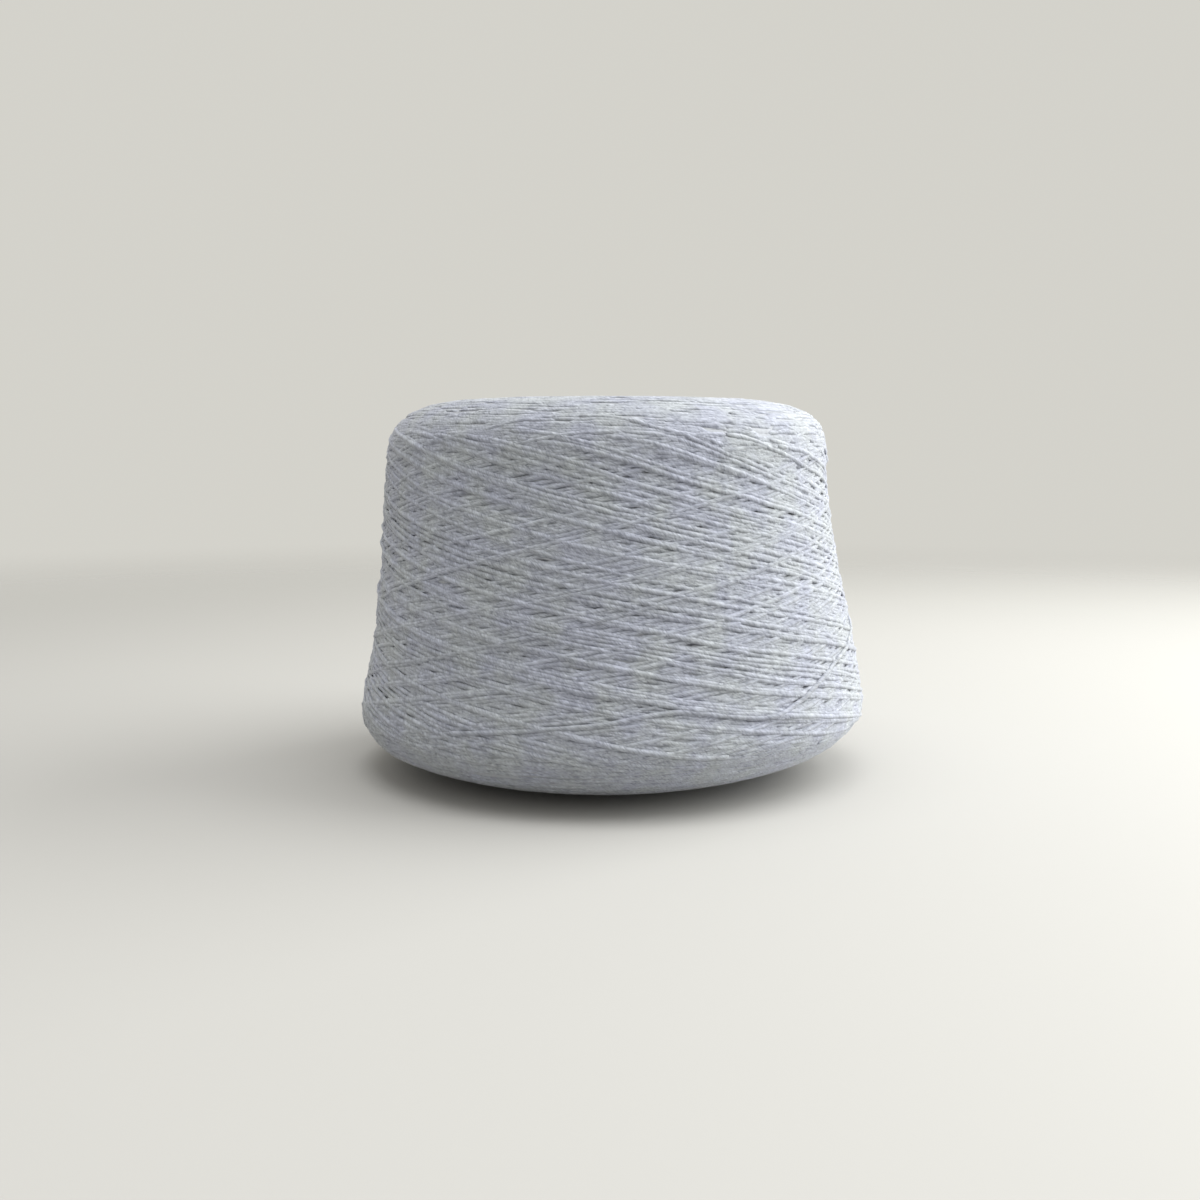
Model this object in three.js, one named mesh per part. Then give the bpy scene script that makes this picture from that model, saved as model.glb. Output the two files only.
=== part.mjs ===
// Cone of yarn: one cross-wound package of yarn with slightly hollow flanks, a rounded belly
// above its base, a soft shoulder and the tapered bore that its winding former leaves.
// Millimetres, +Z up. The package rests on a flat ring round its bore, at z = 0.
// Around the package, angle 0 faces the front (-Y) and grows towards +X.
import * as THREE from 'three';

// ---- Driving dimensions ----

// Bore of the winding: a cone of 5 degrees 57 minutes, which is how far its wall leans in.
const BORE_TAPER = THREE.MathUtils.degToRad(5.95);
const BORE_BASE_RADIUS = 33.5;
const boreRadius = (height) => BORE_BASE_RADIUS - height * Math.tan(BORE_TAPER);

// Sections of the winding, in order round its closed outline: out along the resting flat, up the
// outside, in over the crown and down the bore. "lean" shifts a section sideways along X, because
// the soft package doesn't stand quite true. "rows" is how many rows of the surface run from this
// section to the next.
const SECTIONS = [
  // resting flat
  { height: 0, radius: 38.5, lean: -1.5, rows: 1 },
  { height: 0, radius: 43, lean: -2.5, rows: 1 },
  // underside, drawn in towards the flat
  { height: 0, radius: 48, lean: -4, rows: 1 },
  { height: 1.8, radius: 66, lean: -4.5, rows: 1 },
  { height: 4.2, radius: 78, lean: -4.1, rows: 1 },
  { height: 7.2, radius: 87.3, lean: -3.2, rows: 1 },
  { height: 11, radius: 95.7, lean: -2.6, rows: 1 },
  { height: 15.5, radius: 101.4, lean: -1.4, rows: 1 },
  { height: 21, radius: 105.6, lean: 0, rows: 2 },
  // flank, from the belly up to the shoulder
  { height: 27, radius: 107.2, lean: 1, rows: 8 },
  { height: 41, radius: 104.6, lean: 1.6, rows: 8 },
  { height: 55, radius: 102.1, lean: 1.6, rows: 8 },
  { height: 69, radius: 99.9, lean: 1.2, rows: 8 },
  { height: 83, radius: 97.5, lean: 0.5, rows: 8 },
  { height: 97, radius: 95.4, lean: -0.3, rows: 8 },
  { height: 111, radius: 93.6, lean: -1, rows: 8 },
  { height: 125, radius: 92.1, lean: -1.2, rows: 8 },
  // shoulder and crown
  { height: 139, radius: 91.7, lean: -0.7, rows: 1 },
  { height: 144.5, radius: 89.3, lean: -0.2, rows: 1 },
  { height: 149, radius: 84.4, lean: 0, rows: 1 },
  { height: 152.3, radius: 76.3, lean: 0, rows: 1 },
  { height: 154, radius: 66.5, lean: 0, rows: 1 },
  { height: 154, radius: 55, lean: 0, rows: 1 },
  { height: 153, radius: 42, lean: 0, rows: 1 },
  { height: 151.4, radius: 30, lean: 0, rows: 1 },
  // bore, with its two rounded mouths
  { height: 148.5, radius: 22.5, lean: 0, rows: 1 },
  { height: 142, radius: boreRadius(142), lean: 0, rows: 1 },
  { height: 131, radius: boreRadius(131), lean: 0, rows: 8 },
  { height: 22, radius: boreRadius(22), lean: 0, rows: 1 },
  { height: 11, radius: boreRadius(11), lean: 0, rows: 1 },
  { height: 4, radius: 33.9, lean: 0, rows: 1 },
  { height: 0.9, radius: 35.6, lean: -0.6, rows: 1 },
];

// Winding: the turns cross the flank at about 15 degrees, both ways. Each row of the surface is
// turned by half a column on the row below, so that its edges follow both sets of turns.
const COLUMNS = 48;
const COLUMN_ANGLE = (2 * Math.PI) / COLUMNS;
const FLANK = { bottom: 27, top: 139, fade: 11 };

// Main crossing turns stand this far proud, each by its own share. The rest lie flush.
const TURN_HEIGHT = 1.0;
const FLUSH_SHARE = 0.45;

// Soft unevenness of the winding: low waves round and up the package.
const WAVES = [
  { height: 0.45, around: 2, up: 0.4, phase: 0.7 },
  { height: 0.35, around: 5, up: -1.3, phase: 2.1 },
  { height: 0.25, around: 9, up: 2.2, phase: 4.4 },
];
const PACKAGE_HEIGHT = 154;

// ---- Helpers ----

// The same pseudo-random share from 0 to 1 each time, for a whole number and a stream.
function share(number, stream) {
  const value = Math.sin(number * 12.9898 + stream * 78.233) * 43758.5453;
  return value - Math.floor(value);
}

// How proud each of a set of parallel turns stands, one number for each column.
function turnHeights(stream) {
  return Array.from({ length: COLUMNS }, (_, turn) => {
    const proud = (share(turn, stream) - FLUSH_SHARE) / (1 - FLUSH_SHARE);
    return TURN_HEIGHT * Math.max(0, proud) ** 0.5;
  });
}

function wrap(number, count) {
  return ((number % count) + count) % count;
}

// The rows of the surface round the closed outline, each with its place, its radius and its lean.
function outlineRows() {
  const points = SECTIONS.map(({ radius, height, lean }) => new THREE.Vector3(radius, height, lean));
  const curve = new THREE.CatmullRomCurve3(points, true, 'centripetal');
  const rows = [];
  SECTIONS.forEach((section, index) => {
    for (let step = 0; step < section.rows; step += 1) {
      const point = curve.getPoint((index + step / section.rows) / SECTIONS.length);
      rows.push({ radius: point.x, height: point.y, lean: point.z });
    }
  });
  return rows;
}

// 1 on the flank, falling to 0 at its two ends, where the turns reverse.
function flankShare(height) {
  const inside = Math.min(height - FLANK.bottom, FLANK.top - height);
  return THREE.MathUtils.smoothstep(inside, 0, FLANK.fade);
}

// 1 on the outside of the winding, falling to 0 on the resting flat and in the bore.
function softShare(radius, height) {
  return THREE.MathUtils.smoothstep(radius, 50, 80) * THREE.MathUtils.smoothstep(height, 0, 6);
}

function unevenness(angle, height) {
  const climb = (2 * Math.PI * height) / PACKAGE_HEIGHT;
  return WAVES.reduce(
    (sum, wave) => sum + wave.height * Math.sin(wave.around * angle + wave.up * climb + wave.phase),
    0,
  );
}

// ---- The wound yarn ----

function woundYarn() {
  const rows = outlineRows();
  const flankStart = rows.findIndex(({ radius, height }) => height >= FLANK.bottom && radius > 90);
  const rising = turnHeights(1);
  const falling = turnHeights(2);

  const outline = [...rows, rows[0]].map(({ radius, height }) => new THREE.Vector2(radius, height));
  const geometry = new THREE.LatheGeometry(outline, COLUMNS);
  const position = geometry.getAttribute('position');

  for (let index = 0; index < position.count; index += 1) {
    const step = index % outline.length;
    const column = Math.floor(index / outline.length);
    const { radius, height, lean } = rows[step % rows.length];
    const angle = wrap(column + step / 2, COLUMNS) * COLUMN_ANGLE;

    // one family of turns follows the columns, the other crosses a column with each row
    const crossing = column + step - flankStart;
    const proud = Math.max(rising[wrap(column, COLUMNS)], falling[wrap(crossing, COLUMNS)]);
    const reach = radius
      + proud * flankShare(height) * (radius > 90 ? 1 : 0)
      + unevenness(angle, height) * softShare(radius, height);

    position.setXYZ(index, lean + reach * Math.sin(angle), -reach * Math.cos(angle), height);
  }

  // the package stands with the middle of its outer box over the origin
  geometry.computeBoundingBox();
  const middle = geometry.boundingBox.getCenter(new THREE.Vector3());
  geometry.translate(-middle.x, -middle.y, 0);
  geometry.computeVertexNormals();
  return geometry;
}

const YARN_MATERIAL = new THREE.MeshStandardMaterial({
  color: new THREE.Color(0.62, 0.64, 0.67),
  roughness: 0.9,
  metalness: 0,
});

const coneOfYarn = new THREE.Group();
const winding = new THREE.Mesh(woundYarn(), YARN_MATERIAL);
winding.name = 'wound_yarn';
coneOfYarn.add(winding);

export default coneOfYarn;
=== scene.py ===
"""Cone of yarn, dressed turn by turn.

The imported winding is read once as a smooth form. Turns of yarn are then laid over it one after
another, as a winder lays them: up and down the flank in crossing strokes, in short arcs where they
turn back over the crown and under the base, and along the wall of the bore. Each turn rides over
the turns laid before it. Lengths are in metres unless a name says otherwise, and angle 0 round the
package faces the front (-Y) and grows towards +X.
"""

import functools
import math
from collections import namedtuple

import bpy
import numpy as np
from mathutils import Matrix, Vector
from mathutils.bvhtree import BVHTree


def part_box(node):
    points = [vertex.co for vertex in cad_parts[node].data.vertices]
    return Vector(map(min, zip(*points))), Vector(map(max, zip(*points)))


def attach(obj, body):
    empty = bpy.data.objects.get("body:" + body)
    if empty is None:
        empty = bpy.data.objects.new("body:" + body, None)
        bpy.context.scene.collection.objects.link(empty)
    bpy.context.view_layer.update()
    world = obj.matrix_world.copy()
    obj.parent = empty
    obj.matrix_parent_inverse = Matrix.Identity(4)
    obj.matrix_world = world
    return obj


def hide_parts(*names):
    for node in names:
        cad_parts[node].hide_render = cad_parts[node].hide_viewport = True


bl_info = {
    "name": "Cone of Yarn",
    "version": (1, 0, 0),
    "blender": (4, 5, 0),
    "location": "3D View > Sidebar > Yarn",
    "description": "Winds a cross-wound cone of melange yarn, turn by turn, on its plain form",
    "category": "Object",
}

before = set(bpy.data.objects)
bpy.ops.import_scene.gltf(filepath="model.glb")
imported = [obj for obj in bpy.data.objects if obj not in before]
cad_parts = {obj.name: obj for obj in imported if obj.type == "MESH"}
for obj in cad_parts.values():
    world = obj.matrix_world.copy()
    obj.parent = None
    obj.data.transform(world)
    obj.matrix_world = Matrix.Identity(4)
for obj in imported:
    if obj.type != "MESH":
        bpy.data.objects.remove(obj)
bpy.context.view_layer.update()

NODE = "wound_yarn"
BODY = "root"

MM = 0.001
TURN = 2 * math.pi
SEED = 11
FLANK_PIECES = 4
# The corners round a turn, fewer in the bore.
SIDES, BORE_SIDES = 5, 4
# Every how many steps a turn takes a ring of points, closer in the outer flank pieces.
COARSE_STRIDE, FINE_STRIDE = 4, 3

# A soft yarn lies wider than it is high: half its width and half its height, in diameters.
WIDE, HIGH = 0.57, 0.42
# How much each turn may be thinner or thicker than the yarn.
THINNEST, THICKEST = 0.9, 1.1
# Share of its height over or under the skin that each turn keeps once the yarn has settled, and
# how far all of them sink into the form.
SETTLED = 0.9
SUNK = 0.1 * MM

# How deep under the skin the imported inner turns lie, which fill the gaps between the outer ones:
# at most, below the mean skin, at least, and over the crown and base, where turns are pressed flat.
FILL_DEPTH = 1.5 * MM
UNDER_SKIN = 0.45 * MM
LEAST_DEPTH = 0.15 * MM
END_DEPTH = 0.3 * MM
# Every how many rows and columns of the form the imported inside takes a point.
INNER_SKIP = 3, 3

# Laid flat: the width of a turn's skin, the margin between two, the room that its closed ends take,
# and the length left out between two stretches of yarn.
STRIP_WIDTH = 5.4 * MM
STRIP_MARGIN = 0.8 * MM
CAP_ROOM = 1.2 * MM
STRIP_GAP = 50 * MM

# How far each layer starts on from the last, in pitches.
LAYER_OFFSET = 0.38
# How much later falling turns are laid than the rising turns of the same stroke, in layers, and
# the share of them that are. The others are laid as much earlier.
DOWN_LATE = 1.0
LATE_SHARE = 0.78
# Pitch of the pressed turns under the open ones, in their pitches.
BED_PITCH = 0.68
# How far each double stroke goes round past one whole turn, as a share of a turn.
HOP_SHARE = 0.882
# How much steeper than the mean a stroke runs at its upper end, and shallower at its lower one.
STEEPENING = 0.1
# Squash of the earliest turns, and the share of the open layers over which it passes to theirs.
PRESSED = 0.82
PRESSED_FROM, PRESSED_TO = 0.3, 0.8

# Heights between which the flank's turns run, the height of its middle and, in mm, how far the
# reversals scatter and over which length round the form they bend.
LOW_REVERSAL, HIGH_REVERSAL = 22 * MM, 138 * MM
FLANK_MIDDLE = 80 * MM
LOW_SCATTER, HIGH_SCATTER = 4, 3.5
BEND = 12, 30

# The bands of short arcs, as heights on the outside, but for the upper lip and the crown's first,
# which are heights in the bore, and the lower lip, which is in stations round the flat underneath.
CROWN_BAND = 143 * MM, 134 * MM
SHOULDER_BAND = 132 * MM, 149 * MM
HEEL_BAND = 26 * MM, 10 * MM
BASE_EDGE = 26 * MM
UPPER_LIP = 138 * MM, 146 * MM
LOWER_LIP = -9 * MM, 3 * MM

# The strokes on the bore's wall: how far from its lower and its upper end they turn back, over
# which length they bend, their pitch as a share of the flank's, and how far they stray, in pitches.
BORE_ENDS = 4 * MM, 6 * MM
BORE_BEND = 4 * MM
BORE_PITCH = 0.62
BORE_SCATTER = 0.3
BORE_SQUASH, BORE_DIP = 0.7, 0.05

# How the arcs of each band are laid. An arc's ends rise or fall by its lift, given for where the
# form lies flat and where it stands. Its half length and the scatter of the arcs are in mm.
Arcs = namedtuple(
    "Arcs", "lying_lift standing_lift coverage shortest longest scatter squash dip flat"
)
ARCS = {
    "crown": Arcs(-0.3, -0.9, 2.6, 10, 18, 1.2, 0.86, 0.10, 0.55),
    "base": Arcs(0.3, 0.7, 2.2, 12, 24, 1.2, 0.86, 0.10, 0.70),
    "shoulder": Arcs(-0.3, -0.8, 1.0, 10, 20, 3.0, 0.85, 0.15, 0.60),
    "heel": Arcs(0.3, 0.7, 0.8, 14, 26, 3.0, 0.85, 0.15, 0.70),
    "upper_lip": Arcs(-0.3, -0.6, 1.2, 8, 14, 1.2, 0.86, 0.10, 0.70),
    "lower_lip": Arcs(0.3, 0.6, 1.2, 8, 14, 1.2, 0.86, 0.10, 0.70),
}
# Successive arcs start this share of the way round from each other, which spreads them evenly, and
# stray from there by this share of a turn.
GOLDEN_SHARE = 0.61803
ARC_SPREAD = 0.1
# The length over which an arc bends, as a share of its half length.
ARC_BEND = 0.9, 1.2

# Turns laid last, which stand out: places on each, as angle and height in degrees and mm.
LATE_TURNS = (
    ((0, 139), (12, 136), (33, 128), (61, 114), (150, 75), (259, 26)),
    ((-35, 138), (-12, 130), (19, 116), (42, 107), (56, 100), (223, 26)),
    ((-66, 138), (-12, 114), (13, 104), (40, 93), (54, 85), (187, 26)),
    ((-100, 138), (-12, 101), (12, 93), (34, 88), (59, 78), (209, 26)),
    ((-146, 138), (-27, 85), (-12, 77), (4, 71), (105, 26)),
    ((-180, 26), (5, 108), (20, 116), (37, 123), (70, 138)),
    ((-109, 26), (33, 89), (46, 96), (57, 100), (143, 138)),
    ((-157, 26), (-41, 71), (-20, 80), (-5, 85), (131, 138)),
)
# A loose turn that wanders low on the front.
LOOSE_TURN = (
    (150, 97), (120, 82), (95, 69.5), (71, 57.4), (58, 51.2), (49.6, 46.3), (39.8, 39.3),
    (34, 36.2), (28, 36.8), (20, 39.5), (14, 42), (7.4, 40.7), (-1.2, 37.7), (-20, 32.5), (-40, 29),
)
# The squash of the last turns and of the loose one, and over how many steps their corners round.
LATE_SQUASH, LATE_SOFTNESS = 0.62, 12
LOOSE_SQUASH, LOOSE_SOFTNESS = 0.3, 5
# How far both dip, in diameters, and over which length their ends sink in among the others.
LATE_DIP = 0.05
LATE_END = 12 * MM

# ---- Settings ----


class YarnSettings(bpy.types.PropertyGroup):
    """The yarn and how it is wound."""

    diameter: bpy.props.FloatProperty(
        name="Yarn diameter", description="Thickness of the yarn as it lies", default=1.7 * MM,
        min=0.5 * MM, max=3 * MM, precision=5, unit="LENGTH",
    )
    winding_angle: bpy.props.FloatProperty(
        name="Winding angle", description="Angle at which the turns cross the flank",
        default=math.radians(11.7), subtype="ANGLE",
    )
    pitch: bpy.props.FloatProperty(
        name="Turn pitch", description="Distance between neighbouring turns of one layer",
        default=2.95 * MM, precision=5, unit="LENGTH",
    )
    layers: bpy.props.IntProperty(
        name="Layers", description="Open crossing layers on the flank", default=2, min=1, max=6,
    )
    squash: bpy.props.FloatProperty(
        name="Squash", description="Share of its thickness that a turn gives up where it crosses",
        default=0.56, min=0, max=0.9,
    )
    dip: bpy.props.FloatProperty(
        name="Dip", description="How far a turn rises and dips among the others, in diameters",
        default=0.18, min=0, max=1,
    )
    jitter: bpy.props.FloatProperty(
        name="Jitter", description="How far the turns stray from even spacing, in pitches",
        default=0.06, min=0, max=1,
    )
    light_fibre: bpy.props.FloatVectorProperty(
        name="Light fibre", description="Colour of the light fibres", subtype="COLOR",
        default=(0.507, 0.526, 0.576), size=3, min=0, max=1,
    )
    dark_fibre: bpy.props.FloatVectorProperty(
        name="Dark fibre", description="Colour of the grey fibres", subtype="COLOR",
        default=(0.187, 0.195, 0.225), size=3, min=0, max=1,
    )


class StageSettings(bpy.types.PropertyGroup):
    """The floor and the two lights."""

    floor_colour: bpy.props.FloatVectorProperty(
        name="Floor", description="Colour of the plain floor", subtype="COLOR",
        default=(0.44, 0.432, 0.418), size=3, min=0, max=1,
    )
    key_power: bpy.props.FloatProperty(
        name="Key light", description="Power of the large soft light on the right",
        default=30.0, min=0, unit="POWER",
    )
    top_power: bpy.props.FloatProperty(
        name="Top light", description="Power of the large soft light overhead",
        default=10.0, min=0, unit="POWER",
    )


def yarn():
    return bpy.context.scene.cone_yarn


# ---- Arrays ----


def smoothstep(x, low, high):
    t = np.clip((x - low) / (high - low), 0, 1)
    return t * t * (3 - 2 * t)


def blur(grid, *sigmas):
    """grid blurred by a Gaussian along each axis, as if it closed on itself, sigmas in cells."""
    spectrum = np.fft.rfft2(grid)
    rows = np.fft.fftfreq(grid.shape[0])[:, None]
    columns = np.fft.rfftfreq(grid.shape[1])[None, :]
    falloff = np.exp(-2 * math.pi**2 * ((rows * sigmas[0]) ** 2 + (columns * sigmas[1]) ** 2))
    return np.fft.irfft2(spectrum * falloff, grid.shape)


def sample(grid, row, column):
    """grid read between its cells at fractional rows and columns. It closes on itself both ways."""
    rows, columns = grid.shape[:2]
    low_row, low_column = np.floor(row).astype(int), np.floor(column).astype(int)
    along_row, along_column = row - low_row, column - low_column
    if grid.ndim == 3:
        along_row, along_column = along_row[..., None], along_column[..., None]
    r0, r1 = low_row % rows, (low_row + 1) % rows
    c0, c1 = low_column % columns, (low_column + 1) % columns
    near = grid[r0, c0] * (1 - along_column) + grid[r0, c1] * along_column
    far = grid[r1, c0] * (1 - along_column) + grid[r1, c1] * along_column
    return near * (1 - along_row) + far * along_row


def blur_open(line, sigma):
    """line blurred by a Gaussian, its ends held in place."""
    reach = int(4 * sigma)
    weights = np.exp(-0.5 * (np.arange(-reach, reach + 1) / sigma) ** 2)
    before = 2 * line[0] - line[reach:0:-1]
    after = 2 * line[-1] - line[-2 : -reach - 2 : -1]
    padded = np.concatenate([before, line, after])
    return np.convolve(padded, weights / weights.sum(), mode="valid")


def steepened(share, rising):
    """The share of the way between its ends that a stroke has gone, for an even share of its
    run, where it runs steeper at its upper end."""
    base = (1 + STEEPENING) / (1 - STEEPENING)
    if rising:
        return (base**share - 1) / (base - 1)
    return 1 - (base ** (1 - share) - 1) / (base - 1)


def unit(vectors):
    return vectors / np.maximum(np.linalg.norm(vectors, axis=-1, keepdims=True), 1e-12)


# ---- The form of the winding ----


class Form:
    """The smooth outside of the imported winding, as a grid: one row for each direction round the
    package, one column for each station round its closed section. Station 0 is the inner edge of
    the resting flat, and stations grow out along the underside, up the flank, in over the crown
    and down the bore."""

    ROWS = 360
    COLUMNS = 480
    RAYS = 900
    # The rays start on a ring inside the winding, from which its whole section can be seen.
    RING_RADIUS_SHARE = 0.58
    # Blur round the package, in degrees, which takes away the coarse turns of the plain solid.
    SMOOTHING = 8
    # Where the inner edge of the resting flat is looked for, as shares of the widest radius, and
    # how high over the ground a point still counts as resting.
    MOUTH_SEARCH = 0.2, 0.6, 0.005
    RESTING = 0.1 * MM

    def __init__(self, node):
        mesh = node.data
        tree = BVHTree.FromPolygons(
            [v.co for v in mesh.vertices], [tuple(p.vertices) for p in mesh.polygons]
        )
        _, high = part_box(NODE)
        self.height = high.z
        self.ring = self.RING_RADIUS_SHARE * high.x
        self.middle = self.height / 2
        self.mouth = self.find_mouth(tree)

        start = math.atan2(-self.middle, self.mouth - self.ring)
        turn = start + TURN * np.arange(self.RAYS) / self.RAYS
        angles = TURN * np.arange(self.ROWS) / self.ROWS
        reach = np.array([self.cast_section(tree, angle, turn) for angle in angles])
        reach = blur(reach, self.SMOOTHING * self.ROWS / 360, 0)

        # stations are even along the mean section
        mean = reach.mean(0)
        section = np.stack([np.cos(turn), np.sin(turn)], 1) * mean[:, None]
        steps = np.linalg.norm(np.diff(section, axis=0, append=section[:1]), axis=1)
        walked = np.concatenate([[0], np.cumsum(steps)])
        self.length = walked[-1]
        wanted = self.length * np.arange(self.COLUMNS) / self.COLUMNS
        ray = np.interp(wanted, walked, np.arange(self.RAYS + 1))
        rows = np.repeat(np.arange(self.ROWS), self.COLUMNS).reshape(self.ROWS, self.COLUMNS)
        reach = sample(reach, rows.astype(float), np.broadcast_to(ray, rows.shape))
        tilt = start + TURN * ray / self.RAYS
        radius = self.ring + reach * np.cos(tilt)
        height = self.middle + reach * np.sin(tilt)
        self.point = np.stack(
            [radius * np.sin(angles)[:, None], -radius * np.cos(angles)[:, None], height], 2
        )
        along = np.roll(self.point, -1, 1) - np.roll(self.point, 1, 1)
        around = np.roll(self.point, -1, 0) - np.roll(self.point, 1, 0)
        self.normal = unit(np.cross(around, along))

        self.mean_radius = radius.mean(0)
        self.mean_height = height.mean(0)
        self.stations = wanted

    def find_mouth(self, tree):
        """Radius of the inner edge of the resting flat, looked up from below along -Y."""
        up = Vector((0, 0, 1))
        below = -10 * MM
        for radius in np.arange(*self.MOUTH_SEARCH) * self.ring / self.RING_RADIUS_SHARE:
            spot, _, _, _ = tree.ray_cast(Vector((0, -radius, below)), up)
            if spot and spot.z < self.RESTING:
                return radius
        raise RuntimeError("the winding has no resting flat")

    def cast_section(self, tree, angle, turn):
        outward = Vector((math.sin(angle), -math.cos(angle), 0))
        origin = outward * self.ring + Vector((0, 0, self.middle))
        reach = []
        for tilt in turn:
            ray = outward * math.cos(tilt) + Vector((0, 0, math.sin(tilt)))
            _, _, _, distance = tree.ray_cast(origin, ray)
            reach.append(distance)
        return reach

    def station(self, height, bore=False):
        """The station at this height on the outside, or on the bore's wall."""
        inside = self.mean_radius < self.ring
        chosen = np.flatnonzero(inside if bore else ~inside)
        nearest = np.abs(self.mean_height[chosen] - height).argmin()
        return self.stations[chosen[nearest]]

    def cells(self, angle, station):
        return angle / TURN * self.ROWS, station / self.length * self.COLUMNS

    def radius_at(self, station):
        return np.interp(station % self.length, self.stations, self.mean_radius)


# ---- Laying the turns ----


# One stretch of yarn: where it runs, how high its middle lies and which piece it belongs to.
Turn = namedtuple("Turn", "group angle station middle diameter shade flat")


class Winding:
    """The turns of yarn, laid one after another on a height field over the form."""

    ROWS = 1536
    COLUMNS = 960
    STEP = 1.0 * MM
    # How sharply a taut turn bends down between the turns that carry it, in 1 / metre, and over how
    # many steps it is held up.
    SAG = 60.0
    BRIDGE = 9
    # A turn rests on what lies under its middle and this share of its diameter to either side.
    SUPPORT_REACH = 0.3
    # Each waviness is a sum of so many waves, between half and double its own length.
    WAVES = 4
    # The length of the waves in which a turn dips, and the least share of its full dip.
    DIP_WAVE = 9 * MM
    LEAST_DIP = 0.3
    # How far strokes and arcs sway sideways, and over which length.
    STROKE_SWAY, STROKE_WAVE = 0.18 * MM, 40 * MM
    ARC_SWAY, ARC_WAVE = 0.12 * MM, 20 * MM
    # Over which length an arc's ends dive between the others, and how far, in diameters.
    ARC_END, ARC_DIVE = 5 * MM, 0.8
    # Blur that smooths the skin over a few turns, in rows and columns.
    LEVEL_BLUR = 10, 12

    def __init__(self, form, settings, seed):
        self.form = form
        self.random = np.random.default_rng(seed)
        self.top = np.zeros((self.ROWS, self.COLUMNS))
        self.diameter = settings.diameter
        self.slope = math.tan(settings.winding_angle)
        self.turns = []

    def cells(self, angle, station):
        return angle / TURN * self.ROWS, station / self.form.length * self.COLUMNS

    def wander(self, count, amplitude, reach):
        """A smooth random offset along a turn, for its slight waviness."""
        walk = np.zeros(count)
        place = np.arange(count) * self.STEP
        for _ in range(self.WAVES):
            wave = reach * self.random.uniform(0.5, 2)
            walk += np.sin(TURN * (place / wave + self.random.random()))
        return walk * amplitude / 2

    def lay(self, group, angle, station, squash, dip, sink=0.0, flat=1.0):
        """Lays one turn over what is there. squash is the share of its thickness that it gives up,
        dip how far it rises and dips, sink lowers it, as where its ends dive between others, and
        flat is the share of its height that it keeps."""
        form = self.form
        diameter = self.diameter * self.random.uniform(THINNEST, THICKEST)
        radius = form.radius_at(station)
        along = np.stack([np.gradient(angle) * radius, np.gradient(station)])
        along /= np.maximum(np.hypot(*along), 1e-9)
        side_angle, side_station = -along[1] / radius, along[0]

        def cells(offset):
            return self.cells(angle + side_angle * offset, station + side_station * offset)

        beside = self.SUPPORT_REACH * diameter
        support = np.mean([sample(self.top, *cells(offset)) for offset in (-beside, 0, beside)], 0)
        ridge = support.copy()
        for step in range(1, self.BRIDGE):
            drop = self.SAG * (step * self.STEP) ** 2
            ridge[step:] = np.maximum(ridge[step:], support[:-step] - drop)
            ridge[:-step] = np.maximum(ridge[:-step], support[step:] - drop)
        middle = ridge + diameter * 2 * HIGH * (0.5 - squash) - sink
        depth = dip * diameter * self.random.uniform(self.LEAST_DIP, 1)
        middle = middle + self.wander(len(angle), depth, self.DIP_WAVE)
        # a yarn is stiff over about its own thickness
        padded = np.pad(middle, 2, mode="edge")
        near = padded[1:-3] + padded[3:-1]
        far = padded[:-4] + padded[4:]
        middle = (3 * middle + 2 * near + far) / 9

        for across in np.linspace(-1, 1, 5):
            row, column = cells(across * WIDE * diameter)
            crest = middle + HIGH * diameter * math.sqrt(1 - across**2)
            row = np.rint(row).astype(int) % self.ROWS
            column = np.rint(column).astype(int) % self.COLUMNS
            np.maximum.at(self.top, (row, column), crest)
        shade = self.random.normal()
        self.turns.append(Turn(group, angle, station, middle, diameter, shade, flat))

    def stroke(self, group, start, end, low, high, bend_low, bend_high, **how):
        """A stroke between two reversals, each rounded over its own bend, in metres round the form."""
        radius = self.form.radius_at((low + high) / 2)
        span = abs(end - start) * radius
        rise = span - (bend_low + bend_high) / 2
        x = np.linspace(0, span, max(int(span / self.STEP), 8))
        climb = np.where(x < bend_low, x**2 / (2 * bend_low), x - bend_low / 2)
        left = span - x
        climb = np.where(left < bend_high, rise - left**2 / (2 * bend_high), climb)
        station = low + (high - low) * steepened(climb / rise, low < high)
        station = station + self.wander(len(x), self.STROKE_SWAY, self.STROKE_WAVE)
        angle = start + (end - start) * x / span
        self.lay(group, angle, station, **how)

    def arc(self, group, centre, apex, half_length, bend, lift, arcs):
        """A short arc where a turn reaches its apex and goes back. lift is +1 under the base, where
        its ends rise, and -1 over the crown; values between flatten the arc."""
        radius = self.form.radius_at(apex)
        x = np.arange(-half_length, half_length + self.STEP / 2, self.STEP)
        reach = np.abs(x)
        fall = np.where(reach < bend, reach**2 / (2 * bend), reach - bend / 2) * self.slope
        angle = centre + x / radius
        station = apex + lift * fall + self.wander(len(x), self.ARC_SWAY, self.ARC_WAVE)
        ends = smoothstep(reach, half_length - self.ARC_END, half_length)
        dive = self.ARC_DIVE * self.diameter * ends
        self.lay(group, angle, station, arcs.squash, arcs.dip, dive, arcs.flat)

    def level(self):
        """The height of the winding's skin over the form, smoothed over a few turns."""
        return blur(self.top, *self.LEVEL_BLUR)


def wind(settings):
    """Lays every turn, from the bore out to the last stroke on the flank."""
    winding = Winding(Form(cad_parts[NODE]), settings, SEED)
    lay_bore(winding, settings.pitch)
    lay_ends(winding)
    lay_flank(winding, settings)
    lay_edges(winding)
    lay_late(winding)
    lay_lips(winding)
    return winding


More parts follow.
